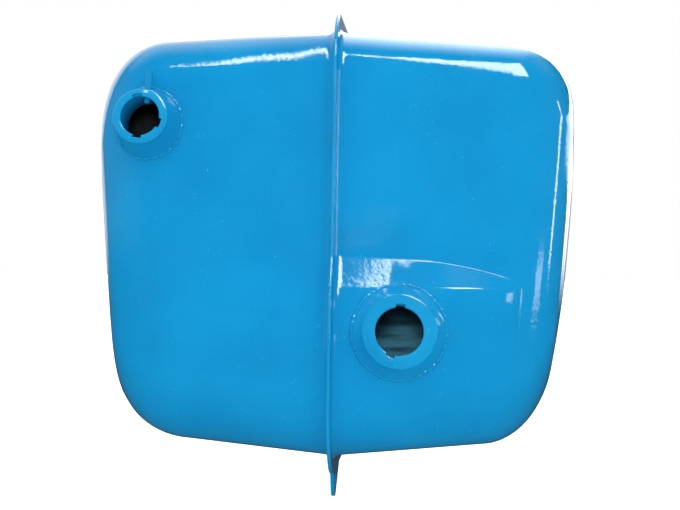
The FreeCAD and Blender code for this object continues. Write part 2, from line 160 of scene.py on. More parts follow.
MOUNTS = {m["name"]: m for m in frame["record"]["mounts"]}


# ---------------------------------------------------------------- mesh making


def mesh_object(name, points, faces):
    """Makes a mesh from millimetre points and equal-sized faces, turned outward by its volume."""
    points = np.asarray(points, float)
    faces = np.asarray(faces, int)
    fan = points[faces]
    first = fan[:, 0]
    volume = 0.0
    for k in range(1, faces.shape[1] - 1):
        volume += np.einsum("ij,ij->i", first, np.cross(fan[:, k], fan[:, k + 1])).sum()
    if volume < 0:
        faces = faces[:, ::-1]
    mesh = bpy.data.meshes.new(name)
    mesh.vertices.add(len(points))
    mesh.vertices.foreach_set("co", (points * MM).ravel())
    mesh.loops.add(faces.size)
    mesh.loops.foreach_set("vertex_index", faces.ravel())
    mesh.polygons.add(len(faces))
    mesh.polygons.foreach_set("loop_start", np.arange(0, faces.size, faces.shape[1]))
    mesh.polygons.foreach_set("use_smooth", np.ones(len(faces), bool))
    mesh.update(calc_edges=True)
    mesh.validate()
    piece = bpy.data.objects.new(name, mesh)
    bpy.context.scene.collection.objects.link(piece)
    return piece


def grid_faces(rows, columns, close_rows, close_columns):
    """Quads of a grid numbered row by row, joined end to end where a direction is closed."""
    i = np.arange(rows if close_rows else rows - 1)
    j = np.arange(columns if close_columns else columns - 1)
    i, j = (a.ravel() for a in np.meshgrid(i, j, indexing="ij"))
    below = (i + 1) % rows
    beside = (j + 1) % columns
    return np.stack([i * columns + j, i * columns + beside, below * columns + beside,
                     below * columns + j], axis=1)


def soft_corners(corners, radius, steps=5):
    """A closed outline with each corner swapped for a short parabola of about the given radius.

    Each corner C gets points (1-t)^2 A + 2t(1-t) C + t^2 B, where A and B lie on its two sides,
    the radius away from C or nearly half the side, whichever is less.
    """
    corners = np.asarray(corners, float)
    before = np.roll(corners, 1, axis=0) - corners
    after = np.roll(corners, -1, axis=0) - corners
    length_before = np.linalg.norm(before, axis=1, keepdims=True)
    length_after = np.linalg.norm(after, axis=1, keepdims=True)
    a = corners + before / length_before * np.minimum(radius, 0.45 * length_before)
    b = corners + after / length_after * np.minimum(radius, 0.45 * length_after)
    t = np.linspace(0, 1, steps).reshape(1, -1, 1)
    curve = (1 - t) ** 2 * a[:, None] + 2 * t * (1 - t) * corners[:, None] + t ** 2 * b[:, None]
    return curve.reshape(-1, 2)


def axis_frame(axis):
    """Unit vectors: sideways, as upright as it can be, and along the axis."""
    along = np.asarray(axis, float)
    along = along / np.linalg.norm(along)
    side = np.cross([0.0, 0.0, 1.0], along)
    if np.linalg.norm(side) < 0.01:
        side = np.array([1.0, 0.0, 0.0])
    side = side / np.linalg.norm(side)
    return side, np.cross(along, side), along


def place(base, axis, r, turn, s):
    """Points at radius r, angle turn and height s on an axis through base."""
    side, up, along = axis_frame(axis)
    r, turn, s = np.broadcast_arrays(r, turn, s)
    return (np.asarray(base, float) + (r * np.cos(turn))[..., None] * side
            + (r * np.sin(turn))[..., None] * up + s[..., None] * along)


def spun(name, outline, base, axis, count=96, r_shift=None, turns=None):
    """A closed (r, s) outline carried round an axis; r_shift(turn, r, s) may move r as it goes."""
    if turns is None:
        turns = np.linspace(0, 2 * np.pi, count, endpoint=False)
    r = np.repeat(outline[:, :1], len(turns), axis=1)
    s = np.repeat(outline[:, 1:], len(turns), axis=1)
    turn = np.repeat(turns[None, :], len(outline), axis=0)
    if r_shift is not None:
        r, s = r_shift(turn, r, s)
    points = place(base, axis, r, turn, s).reshape(-1, 3)
    return mesh_object(name, points, grid_faces(len(outline), len(turns), True, True))


def bead(name, path, across, outward, half_width, rise, closed, around=14):
    """A weld bead: an ellipse of half_width across and rise outward, carried along a path."""
    spin = np.linspace(0, 2 * np.pi, around, endpoint=False)
    points = (path[:, None] + (half_width[:, None] * np.cos(spin))[..., None] * across[:, None]
              + (rise[:, None] * np.sin(spin))[..., None] * outward[:, None])
    return mesh_object(name, points.reshape(-1, 3), grid_faces(len(path), around, closed, True))


def cut_round_holes(piece, holes):
    """Cuts cylinders, each (base, axis, radius, start, end), out of a piece."""
    turns = np.linspace(0, 2 * np.pi, 64, endpoint=False)
    for base, axis, radius, start, end in holes:
        rings = [place(base, axis, radius, turns, s) for s in (start, end)]
        ends = [place(base, axis, 0.0, 0.0, s).reshape(1, 3) for s in (start, end)]
        points = np.concatenate(rings + ends)
        n = len(turns)
        wall = grid_faces(2, n, False, True)
        j = np.arange(n)
        low = np.stack([np.full(n, 2 * n), (j + 1) % n, j], axis=1)
        high = np.stack([np.full(n, 2 * n + 1), n + j, n + (j + 1) % n], axis=1)
        triangles = np.concatenate([wall[:, [0, 1, 2]], wall[:, [0, 2, 3]], low, high])
        cutter = mesh_object("hole_cutter", points, triangles)
        step = piece.modifiers.new("hole", "BOOLEAN")
        step.operation = "DIFFERENCE"
        step.solver = "EXACT"
        step.object = cutter
        bpy.context.view_layer.update()
        graph = bpy.context.evaluated_depsgraph_get()
        made = bpy.data.meshes.new_from_object(piece.evaluated_get(graph))
        piece.modifiers.clear()
        old = piece.data
        piece.data = made
        made.name = old.name
        bpy.data.meshes.remove(old)
        bpy.data.objects.remove(cutter)


# ---------------------------------------------------------------- the drawn shells


def ledge_sink(x):
    """How far the top of the ledge has dropped at a distance x from the seam."""
    return LEDGE_HEIGHT * LEDGE_DROP * np.clip(x / LEDGE_DROP_REACH, 0, 1) ** 2.5


def front_y(half, x, rounding, z, top, foot):
    """The front wall's y: draft + end rounding - ledge + lean - crown.

    The ledge comes forward by its depth times the share reached at this height.  That share is
    the running sum of a steepness that starts sharply, stays even, and eases out below the edge.
    It fades toward the end: late near the ledge, and evenly along the wall further down.
    The crown is a parabola between top and foot.
    """
    along = np.clip(x / (half["reach"] - 0.75 * half["corner"]), 0, 1)
    sink = ledge_sink(x)
    fall = (LEDGE_TOP_Z - sink - z) / (LEDGE_HEIGHT - sink)
    low = np.clip((LEDGE_TOP_Z - 1.3 * LEDGE_HEIGHT - z) / (2.0 * LEDGE_HEIGHT), 0, 1)
    low = low * low * (3 - 2 * low)
    fade = (1 - half["fade"] * along) * (1 - along ** half["hold"])
    fade = fade + (1 - along - fade) * low
    shares = []
    for steepness in (half["ledge_near"], half["ledge_far"]):
        summed = np.cumsum(steepness) / steepness.sum()
        shares.append(np.interp(fall, LEDGE_FALL, summed, left=0, right=1))
    near = np.clip(2.0 - x / LEDGE_NEAR_WIDTH, 0, 1)
    share = shares[0] * near + shares[1] * (1 - near)
    middle = (top + foot) / 2
    crown = FRONT_CROWN * (1 - ((z - middle) / ((top - foot) / 2)) ** 2)
    draft = x * SIDE_SLOPE + END_SIDE_R * rounding
    forward = half["ledge_depth"] * fade * share
    return FRONT_Y + draft - forward + FRONT_LEAN * (z - LEDGE_TOP_Z) - crown


def top_and_foot(half, x, rounding):
    """Heights of the top and foot at a distance x from the seam."""
    top = TOP_Z - x * TOP_SLOPE - half["top_r"] * rounding
    foot = FOOT_Z + x * FOOT_SLOPE + half["foot_r"] * rounding
    return top, foot


def end_corner_x(half):
    return half["reach"] - half["corner"] - END_DOME


def sections(half, x, rounding, grow):
    """Closed (y, z) outlines at many stations, each grown outward: front, foot, back, top.

    Straight runs joined by quarter ellipses.  Returns two arrays, a row to each station.
    """
    x, rounding, grow = (np.asarray(v, float).reshape(-1, 1) for v in (x, rounding, grow))
    top, foot = top_and_foot(half, x, rounding)
    back = BACK_Y - x * SIDE_SLOPE - END_SIDE_R * rounding + grow
    high = top - TOP_EDGE_R
    low = foot + FOOT_EDGE_R
    top_r = TOP_EDGE_R + grow
    foot_r = FOOT_EDGE_R + grow
    quarter = np.linspace(0, np.pi / 2, 37)[1:-1]
    sine = np.sin(quarter)
    rest = 1 - np.cos(quarter)
    ledge_top = LEDGE_TOP_Z - ledge_sink(x)
    ledge_foot = np.broadcast_to(LEDGE_TOP_Z - LEDGE_HEIGHT, ledge_top.shape)
    run = ledge_top - ledge_foot
    marks = [high, ledge_top + 6, ledge_top + 1.5, ledge_top - 0.12 * run,
             ledge_foot + 0.16 * run, ledge_foot - 3, ledge_foot - 14, low]
    counts = [32, 6, 16, 12, 14, 11, 32]
    spans = [a + (b - a) * np.linspace(0, 1, n, endpoint=False)
             for a, b, n in zip(marks, marks[1:], counts)]
    spans = [np.broadcast_to(s, (len(x), s.shape[1])) for s in spans]
    front_z = np.concatenate(spans + [low], axis=1)
    slope = (front_y(half, x, rounding, front_z + 0.5, top, foot)
             - front_y(half, x, rounding, front_z - 0.5, top, foot))
    front = front_y(half, x, rounding, front_z, top, foot) - grow * np.hypot(1, slope)
    foot_run = np.minimum(foot_r, CORNER_SHARE * (back - front[:, -1:]))
    top_run = np.minimum(top_r, CORNER_SHARE * (back - front[:, :1]))
    foot_y = np.linspace(0, 1, 44)
    top_y = np.linspace(0, 1, 40)
    back_z = np.linspace(0, 1, 112)
    foot_start = front[:, -1:] + foot_run
    foot_end = back - foot_run
    top_start = back - top_run
    top_end = front[:, :1] + top_run
    y = [front, front[:, -1:] + foot_run * rest, foot_start + (foot_end - foot_start) * foot_y,
         foot_end + foot_run * sine, back + 0 * back_z, back - top_run * rest,
         top_start + (top_end - top_start) * top_y, top_end - top_run * sine]
    z = [front_z, low - foot_r * sine, (foot - grow) + 0 * foot_y, (foot - grow) + foot_r * rest,
         low + (high - low) * back_z, high + top_r * sine, (top + grow) + 0 * top_y,
         (top + grow) - top_r * rest]
    return np.concatenate(y, axis=1), np.concatenate(z, axis=1)


def stood_off(half, x, y, z):
    """Sets outlines at their distances from the seam, leaning with the tilted ends."""
    x = np.broadcast_to(np.asarray(x, float).reshape(-1, 1), y.shape)
    tilt = np.clip(x - SHEET, 0, None) * END_TILT * (z - TILT_CENTRE_Z)
    return np.stack([half["side"] * (x + tilt), y, z], axis=-1)


def skin_rows(half, inset, wall_count, corner_count, dome_count):
    """Rows of one face of the sheet, from the flange's bend to the middle of the end.

    Bend: a quarter circle.  Wall: even steps of x.  End corner: x = start + corner * sin(turn),
    shrinking by 1 - cos(turn).  Dome: the last outline scaled by s, at x + dome * (1 - s^2).
    """
    bend_x = SHEET + BEND_R
    corner_x = end_corner_x(half)
    bend = np.linspace(0, np.pi / 2, 9)
    wall = np.linspace(bend_x, corner_x, wall_count)[1:]
    turn = np.linspace(0, END_TURN, corner_count)[1:]
    x = np.concatenate([bend_x - (BEND_R + inset) * np.cos(bend), wall,
                        corner_x + (half["corner"] - inset) * np.sin(turn)])
    rounding = np.concatenate([0 * bend, 0 * wall, 1 - np.cos(turn)])
    grow = np.concatenate([BEND_R - (BEND_R + inset) * np.sin(bend), -inset + 0 * wall,
                           -inset * np.cos(turn)])
    y, z = sections(half, x, rounding, grow)
    scale = np.linspace(1, 0, dome_count + 2)[1:-1, None]
    centre_y = y[-1].mean()
    centre_z = z[-1].mean()
    dome_x = x[-1] + END_DOME * (1 - scale[:, 0] ** 2)
    x = np.concatenate([x, dome_x])
    y = np.concatenate([y, centre_y + (y[-1] - centre_y) * scale])
    z = np.concatenate([z, centre_z + (z[-1] - centre_z) * scale])
    pole = stood_off(half, [dome_x[-1]], np.array([[centre_y]]), np.array([[centre_z]]))
    return stood_off(half, x, y, z), pole.reshape(1, 3)


def tab_reach(start, direction, tip, tip_r, root_a, root_b):
    """How far along each ray a tongue reaches: the further of its flanks and its round tip."""
    tip = np.array(tip)

    def touch(root, sign):
        away = np.array(root) - tip
        turn = np.arctan2(away[1], away[0]) + sign * np.arccos(tip_r / np.hypot(*away))
        return tip + tip_r * np.array([np.cos(turn), np.sin(turn)])

    reach = np.zeros(len(start))
    for root, sign in ((root_a, 1), (root_b, -1)):
        flank = touch(root, sign) - np.array(root)
        offset = np.array(root) - start
        cross = direction[:, 0] * flank[1] - direction[:, 1] * flank[0]
        safe = np.where(np.abs(cross) < 1e-9, 1e-9, cross)
        along_ray = (offset[:, 0] * flank[1] - offset[:, 1] * flank[0]) / safe
        along_flank = (offset[:, 0] * direction[:, 1] - offset[:, 1] * direction[:, 0]) / safe
        hit = (along_flank > 0) & (along_flank < 1) & (along_ray > 0)
        reach = np.where(hit, np.maximum(reach, along_ray), reach)
    offset = start - tip
    square = (direction ** 2).sum(1)
    half_b = (offset * direction).sum(1)
    root_part = half_b ** 2 - square * ((offset ** 2).sum(1) - tip_r ** 2)
    exit_tip = (-half_b + np.sqrt(np.clip(root_part, 0, None))) / square
    return np.where(root_part > 0, np.maximum(reach, exit_tip), reach)


def flange_rays():
    """Start points and directions of the rays that the flange is measured along, in (y, z)."""
    y, z = sections(RIGHT, [0, 0], [0, 0], [0, 1])
    points = np.stack([y, z], axis=-1)
    return points[0], points[1] - points[0]


def flange_reach(width):
    """The flange's width along each ray: the even rim, or a lug or ear where that is wider."""
    start, direction = flange_rays()
    reach = np.full(len(start), width)
    for tab in TABS:
        reach = np.maximum(reach, tab_reach(start, direction, *tab))
    return reach


def flange_rows(side):
    """The flange from the outer bend out to its edge, round it, and in to the inner bend."""
    start, direction = flange_rays()
    reach = flange_reach(FLANGE_WIDTH)
    edge = 0.25
    shares = np.linspace(0, 1, 9)[1:]
    widths = [BEND_R + (reach - edge - BEND_R) * s for s in shares]
    levels = [SHEET] * len(shares)
    widths += [reach, reach] + [BEND_R + (reach - BEND_R) * s for s in shares[:-1][::-1]]
    levels += [SHEET - edge, 0.0] + [0.0] * (len(shares) - 1)
    rows = []
    for width, level in zip(widths, levels):
        yz = start + direction * width[:, None]
        rows.append(np.column_stack([np.full(len(yz), side * level), yz]))
    return np.array(rows)


def seam_bead(name):
    """The weld that closes the rim from the upper ear over the top and down to the lug.

    An ellipse carried along the rim, swelling in ripples 4.1 mm apart, with a point at each end.
    """
    start, direction = flange_rays()
    plain = flange_reach(FLANGE_WIDTH) <= FLANGE_WIDTH + 1e-6
    last = np.argmin(plain)
    first = len(plain) - np.argmin(plain[::-1])
    run = np.concatenate([np.arange(first, len(plain)), np.arange(last)])
    rim = start[run] + direction[run] * FLANGE_WIDTH
    out = direction[run] / np.linalg.norm(direction[run], axis=1, keepdims=True)
    length = np.concatenate([[0], np.cumsum(np.linalg.norm(np.diff(rim, axis=0), axis=1))])
    swell = 1 + 0.2 * np.sin(2 * np.pi * length / 4.1 + 1.5 * np.sin(length / 17.0))
    spin = np.linspace(0, 2 * np.pi, 12, endpoint=False)
    across = EDGE_BEAD_HALF * swell[:, None] * np.cos(spin)
    yz = rim[:, None] + (EDGE_BEAD * swell[:, None] * np.sin(spin))[..., None] * out[:, None]
    ring = np.concatenate([across[..., None], yz], axis=2).reshape(-1, 3)
    ends = np.column_stack([[0, 0], rim[[0, -1]]])
    quads = grid_faces(len(run), 12, False, True)
    j = np.arange(12)
    beside = (j + 1) % 12
    low = np.column_stack([0 * j + len(ring), beside, j])
    final = len(ring) - 12
    high = np.column_stack([0 * j + len(ring) + 1, final + j, final + beside])
    faces = np.concatenate([quads[:, [0, 1, 2]], quads[:, [0, 2, 3]], low, high])
    return mesh_object(name, np.concatenate([ring, ends]), faces)


def half_shell(name, half, holes, inside_painted_light_and_shade):
    """One drawn half as a closed sheet: end, walls, bend, flange, and back inside to the end.

    The faces of the inner skin take the inside colour, which carries painted shade on the left half
    and painted light on the right half.
    """
    outer, outer_pole = skin_rows(half, 0.0, 56, 40, 22)
    inner, inner_pole = skin_rows(half, SHEET, 22, 16, 8)
    wander = press_wander(outer)
    outer = outer + wander
    outer_pole = outer_pole + press_wander(outer_pole)
    rows = np.concatenate([outer[::-1], flange_rows(half["side"]), inner])
    count, around = rows.shape[:2]
    quads = grid_faces(count, around, False, True)
    j = np.arange(around)
    beside = (j + 1) % around
    first_pole = count * around
    last = (count - 1) * around
    first = np.stack([np.full(around, first_pole), beside, j], 1)
    final = np.stack([np.full(around, first_pole + 1), last + j, last + beside], 1)
    triangles = np.concatenate([quads[:, [0, 1, 2]], quads[:, [0, 2, 3]], first, final])
    points = np.concatenate([rows.reshape(-1, 3), outer_pole, inner_pole])
    outside_rows = len(outer) + 10
    row_of_quad = np.repeat(np.arange(count - 1), around)
    inside = np.concatenate([row_of_quad >= outside_rows, row_of_quad >= outside_rows,
                             np.zeros(around, bool), np.ones(around, bool)])
    piece = mesh_object(name, points, triangles)
    piece.data.materials.append(ENAMEL)
    piece.data.materials.append(inside_painted_light_and_shade)
    piece.data.polygons.foreach_set("material_index", inside.astype(int))
    cut_round_holes(piece, holes)
    return piece


def press_wander(points):
    """A drawn sheet is never quite even: slow waves a few tenths of a millimetre deep, in y.

    Where the ledge runs out, the sheet has gathered in fine ripples.
    """
    x, z = points[..., 0], points[..., 2]
    wave = (0.10 * np.sin(x / 19.0 + z / 31.0 + 0.7) + 0.12 * np.sin(z / 23.0 - x / 41.0)
            + 0.08 * np.sin(x / 11.0 - z / 17.0 + 2.1))
    fade = np.clip((np.abs(x) - 12.0) / 25.0, 0, 1)
    run_out = (np.clip(1 - ((x - RIPPLE_X) / RIPPLE_HALF_X) ** 2, 0, 1)
               * np.clip(1 - ((z - RIPPLE_Z) / RIPPLE_HALF_Z) ** 2, 0, 1))
    ripple = np.sin(2 * np.pi * (z + 0.04 * x) / RIPPLE_SPACING)
    shift = np.zeros(points.shape)
    shift[..., 1] = wave * fade + RIPPLE_DEPTH * run_out * ripple
    return shift


def front_skin_y(half, x, z):
    """The y of the front skin over any (x, z), with the rounded top, foot and end corners."""
    x = np.abs(x)
    tilt = END_TILT * (z - TILT_CENTRE_Z)
    station = (x + SHEET * tilt) / (1 + tilt)
    lift = np.clip((station - end_corner_x(half)) / half["corner"], 0, np.sin(END_TURN))
    rounding = 1 - np.sqrt(1 - lift ** 2)
    top, foot = top_and_foot(half, station, rounding)
    high = top - TOP_EDGE_R
    low = foot + FOOT_EDGE_R
    back = BACK_Y - station * SIDE_SLOPE - END_SIDE_R * rounding
    flat = front_y(half, station, rounding, np.clip(z, low, high), top, foot)
    top_run = np.minimum(TOP_EDGE_R, CORNER_SHARE * (back - flat))
    foot_run = np.minimum(FOOT_EDGE_R, CORNER_SHARE * (back - flat))
    above = np.clip((z - high) / TOP_EDGE_R, 0, 0.999)
    below = np.clip((low - z) / FOOT_EDGE_R, 0, 0.999)
    return (flat + top_run * (1 - np.sqrt(1 - above ** 2))
            + foot_run * (1 - np.sqrt(1 - below ** 2)))


def skin_height(half, base, axis, r, turn):
    """Height s on an axis at which a line at (r, turn) meets the front skin, by repeated steps."""
    along = axis_frame(axis)[2]
    s = np.zeros(np.broadcast(r, turn).shape)
    for _ in range(25):
        point = place(base, axis, r, turn, s)
        miss = front_skin_y(half, point[..., 0], point[..., 2]) - point[..., 1]
        s = s + 0.8 * miss / along[1]
    return s


# ---------------------------------------------------------------- necks


def neck_place(mount_name, neck):
    """A neck's foot point and axis, from where its mouth's mount stands in the frame."""
    mount = MOUNTS[mount_name]
    axis = axis_frame(mount["axis"])[2]
    mouth = np.array(mount["pos_m"]) / MM
    return mouth - axis * (neck["rise"] - LIP_THICK / 2), axis


def neck_lip(name, neck, base, axis):
    """The cap seat: a slightly domed ring, rolled at its rim, with bayonet notches in its bore."""
    top = neck["rise"]
    under = top - LIP_ROLL
    crown = (neck["lip_r"] + neck["mouth_r"]) / 2
    corners = [(neck["mouth_r"], under), (neck["lip_r"], under), (neck["lip_r"], top - 1.6),
               (crown, top - 0.3), (neck["mouth_r"], top)]
    outline = soft_corners(corners, 1.7, 7)
    half_turn = np.arcsin(NOTCH_WIDTH / 2 / neck["mouth_r"])
    centres = np.radians(neck["notches"])
    steps = np.array([-1.06, -1.0, -0.94, 0.94, 1.0, 1.06]) * half_turn
    turns = np.concatenate([np.linspace(0, 2 * np.pi, 180, endpoint=False),
                            (centres[:, None] + steps).ravel() % (2 * np.pi)])
    turns = np.unique(np.round(turns, 5))

    def notched(turn, r, s):
        away = np.abs((turn[..., None] - centres + np.pi) % (2 * np.pi) - np.pi).min(-1)
        cut = np.clip((1.03 * half_turn - away) / (0.06 * half_turn), 0, 1)
        ring = np.clip((neck["lip_r"] - r) / (neck["lip_r"] - neck["mouth_r"]), 0, 1)
        return r + NOTCH_DEPTH * cut * ring ** 3, s

    return spun(name, outline, base, axis, r_shift=notched, turns=turns)


def neck_tube(name, neck, base, axis):
    """The plain tube between the lip and the inside of the vessel."""
    outer, inner = neck["tube_r"], neck["tube_r"] - NECK_WALL
    low, high = -neck["inside"], neck["rise"] - LIP_THICK
    outline = soft_corners([(inner, low), (outer, low), (outer, high), (inner, high)], 0.4, 3)
    return spun(name, outline, base, axis, 128)


def neck_collar(name, neck, half, base, axis):
    """The skirt: nearly a straight cone, a little hollow at its foot, which follows the skin."""
    under_lip = neck["rise"] - LIP_THICK
    flare = neck["base_r"] - neck["shoulder_r"]
    share = np.linspace(0, 1, 14)
    outer_r = neck["base_r"] - flare * (0.16 * (1 - (1 - share) ** 5) + 0.84 * share)
    outer_s = 1.0 + (under_lip - 1.0) * share
    r = np.concatenate([[neck["tube_r"]], [neck["base_r"]] * 3, outer_r[1:], [neck["tube_r"]]])
    s = np.concatenate([[-0.6], [-0.6, 0.4, 1.0], outer_s[1:], [under_lip]])
    on_skin = np.clip(1 - s / under_lip, 0, 1)
    turns = np.linspace(0, 2 * np.pi, 144, endpoint=False)
    lift = skin_height(half, base, axis, r[:, None], turns[None, :])
    heights = s[:, None] + lift * on_skin[:, None]
    points = place(base, axis, r[:, None] + 0 * turns, turns[None, :] + 0 * heights, heights)
    return mesh_object(name, points.reshape(-1, 3), grid_faces(len(r), len(turns), True, True))


def foot_weld(name, half, base, axis, r, size, lumps, seed):
    """A hand-laid bead where a round foot meets the skin: a ring with uneven ripples."""
    turns = np.linspace(0, 2 * np.pi, 360, endpoint=False)
    rng = np.random.default_rng(seed)
    ripple = uneven(turns, lumps, rng)
    radius = r + 0.35 * uneven(turns, 7, rng)
    height = skin_height(half, base, axis, radius, turns)
    path = place(base, axis, radius, turns, height + 0.2)
    side, up, along = axis_frame(axis)
    outward = np.cos(turns)[:, None] * side + np.sin(turns)[:, None] * up
    size = size * (1 + 0.30 * ripple + 0.15 * uneven(turns, 11, rng))
    return bead(name, path, outward, np.tile(along, (len(turns), 1)), size * 1.15, size, True)


def spatter(name, half, base, axis, r, spread, count, seed):
    """Beads of weld spatter round a foot: eight-sided balls, each two rings and two poles."""
    rng = np.random.default_rng(seed)
    turn = rng.uniform(0, 2 * np.pi, count)
    away = r + rng.exponential(spread, count)
    size = rng.uniform(0.22, 0.55, count) * np.where(rng.uniform(size=count) < 0.08, 1.9, 1.0)
    centre = place(base, axis, away, turn, skin_height(half, base, axis, away, turn) + 0.1)
    spin = np.linspace(0, 2 * np.pi, 8, endpoint=False)
    rings = [np.column_stack([0.87 * np.cos(spin), 0.87 * np.sin(spin), np.full(8, h)])
             for h in (-0.5, 0.5)]
    ball = np.concatenate(rings + [[[0, 0, -1.0], [0, 0, 1.0]]])
    i = np.arange(8)
    j = (i + 1) % 8
    faces = np.concatenate([np.column_stack([i, j, 8 + j]), np.column_stack([i, 8 + j, 8 + i]),
                            np.column_stack([j, i, 0 * i + 16]),
                            np.column_stack([8 + i, 8 + j, 0 * i + 17])])
    points = centre[:, None] + ball * size[:, None, None]
    faces = faces + 18 * np.arange(count)[:, None, None]
    return mesh_object(name, points.reshape(-1, 3), faces.reshape(-1, 3))


def uneven(turns, lumps, rng):
    """Ripples between -1 and 1 that repeat over a turn: a few sines near the lump count."""
    counts = lumps + rng.integers(-lumps // 4 - 1, lumps // 4 + 2, 5)
    phases = rng.uniform(0, 2 * np.pi, 5)
    return np.sin(turns[:, None] * counts + phases).mean(1) * 1.6


# ---------------------------------------------------------------- paint


def noise(tree, scale, detail, vector):
    node = tree.nodes.new("ShaderNodeTexNoise")
    node.inputs["Scale"].default_value = scale
    node.inputs["Detail"].default_value = detail
    tree.links.new(vector, node.inputs["Vector"])
    return node.outputs["Fac"]


def ramp(tree, value, stops):
    node = tree.nodes.new("ShaderNodeValToRGB")
    while len(node.color_ramp.elements) < len(stops):
        node.color_ramp.elements.new(0.5)
    for element, (position, colour) in zip(node.color_ramp.elements, stops):
        element.position = position
        element.color = (*colour, 1) if len(colour) == 3 else colour
    tree.links.new(value, node.inputs["Fac"])
    return node.outputs["Color"]


def grey(level):
    return (level, level, level)


def mixed(tree, share, first, second):
    """Mixes two colours by a share; each may be a socket or a plain colour."""
    node = tree.nodes.new("ShaderNodeMix")
    node.data_type = "RGBA"
    for name, value in (("A", first), ("B", second)):
        socket = [s for s in node.inputs if s.name == name and s.type == "RGBA"][0]
        if isinstance(value, tuple):
            socket.default_value = (*value, 1)
        else:
            tree.links.new(value, socket)
    if isinstance(share, float):
        node.inputs["Factor"].default_value = share
    else:
        tree.links.new(share, node.inputs["Factor"])
    return [s for s in node.outputs if s.type == "RGBA"][0]


def raised(tree, height, distance, strength, under=None):
    node = tree.nodes.new("ShaderNodeBump")
    node.inputs["Distance"].default_value = distance
    node.inputs["Strength"].default_value = strength
    tree.links.new(height, node.inputs["Height"])
    if under is not None:
        tree.links.new(under, node.inputs["Normal"])
    return node.outputs["Normal"]


def gloss_paint(name, light, deep, peel, gloss):
    """Sprayed gloss enamel: cloudy colour, orange peel, fine dust nibs and duller patches."""
    material = bpy.data.materials.new(name)
    material.use_nodes = True
    tree = material.node_tree
    shader = tree.nodes["Principled BSDF"]
    place_on = tree.nodes.new("ShaderNodeTexCoord").outputs["Object"]
    clouds = ramp(tree, noise(tree, 14.0, 4.0, place_on), [(0.35, grey(0)), (0.65, grey(1))])
    colour = mixed(tree, clouds, deep, light)
    nibs = ramp(tree, noise(tree, 620.0, 2.0, place_on), [(0.70, grey(0)), (0.76, grey(1))])
    colour = mixed(tree, nibs, colour, tuple(min(1.0, c * 1.5 + 0.02) for c in light))
    tree.links.new(colour, shader.inputs["Base Color"])
    dull = ramp(tree, noise(tree, 38.0, 5.0, place_on),
                [(0.4, grey(gloss)), (0.75, grey(gloss + 0.06))])
    tree.links.new(dull, shader.inputs["Roughness"])
    skin = raised(tree, noise(tree, 330.0, 3.0, place_on), 0.0002, peel * 2.5)
    skin = raised(tree, noise(tree, 60.0, 2.0, place_on), 0.0006, peel * 0.25, skin)
    skin = raised(tree, nibs, 0.0001, 0.4, skin)
    tree.links.new(skin, shader.inputs["Normal"])
    shader.inputs["IOR"].default_value = 1.5
    return material


def streaked_inside(name, dark, light):
    """The inside: streaked along the draw, from a dark to a light colour; the left half's colours
    are set dark as painted shade, the right half's bright as painted light.
    """
    material = bpy.data.materials.new(name)
    material.use_nodes = True
    tree = material.node_tree
    shader = tree.nodes["Principled BSDF"]
    place_on = tree.nodes.new("ShaderNodeTexCoord").outputs["Object"]
    drawn_out = tree.nodes.new("ShaderNodeMapping")
    drawn_out.inputs["Scale"].default_value = (0.12, 1.0, 1.0)
    tree.links.new(place_on, drawn_out.inputs["Vector"])
    stains = noise(tree, 160.0, 5.0, drawn_out.outputs["Vector"])
    stains = ramp(tree, stains, [(0.35, grey(0)), (0.65, grey(1))])
    colour = mixed(tree, stains, dark, light)
    tree.links.new(colour, shader.inputs["Base Color"])
    dull = ramp(tree, stains, [(0.0, grey(0.38)), (1.0, grey(0.6))])
    tree.links.new(dull, shader.inputs["Roughness"])
    skin = raised(tree, noise(tree, 200.0, 5.0, place_on), 0.0003, 0.4)
    tree.links.new(skin, shader.inputs["Normal"])
    return material


ENAMEL = gloss_paint("sky_blue_enamel", (0.0065, 0.325, 0.685), (0.0055, 0.29, 0.625), 0.13, 0.03)
NECK_ENAMEL = gloss_paint("neck_enamel", (0.009, 0.34, 0.69), (0.006, 0.29, 0.62), 0.14, 0.08)
WELD_ENAMEL = gloss_paint("weld_enamel", (0.009, 0.35, 0.70), (0.005, 0.28, 0.60), 0.30, 0.07)
PIPE_ENAMEL = gloss_paint("pipe_enamel", (0.008, 0.31, 0.65), (0.005, 0.27, 0.59), 0.12, 0.09)
# Painted shade: the left half's inside is set near black, darker than the same sheet on the right,
# standing in for the shade inside the vessel.
INSIDE_LEFT_PAINTED_SHADE = streaked_inside("inside_left_painted_shade", (0.04, 0.045, 0.05), (0.07, 0.075, 0.08))
# Painted light: the right half's inside is set brighter than the outside paint, standing in for
# lamp light falling in through the filler.
INSIDE_RIGHT_PAINTED_LIGHT = streaked_inside("inside_right_painted_light", (0.05, 0.19, 0.34), (0.18, 0.66, 0.92))


def finish_piece(piece, material, slot, *nodes):
    """Gives a piece its finish, lets it ride on the vessel, and hides the nodes it stands for."""
    if not piece.data.materials:
        piece.data.materials.append(material)
    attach(piece, "root")
    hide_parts(*nodes)
    return piece


# ---------------------------------------------------------------- the pieces


def back_base(mount_name):
    """A back fitting's point on the back wall, from the mount at its free end."""
    x, _, z = np.array(MOUNTS[mount_name]["pos_m"]) / MM
    return np.array([x, BACK_Y - abs(x) * SIDE_SLOPE, z])


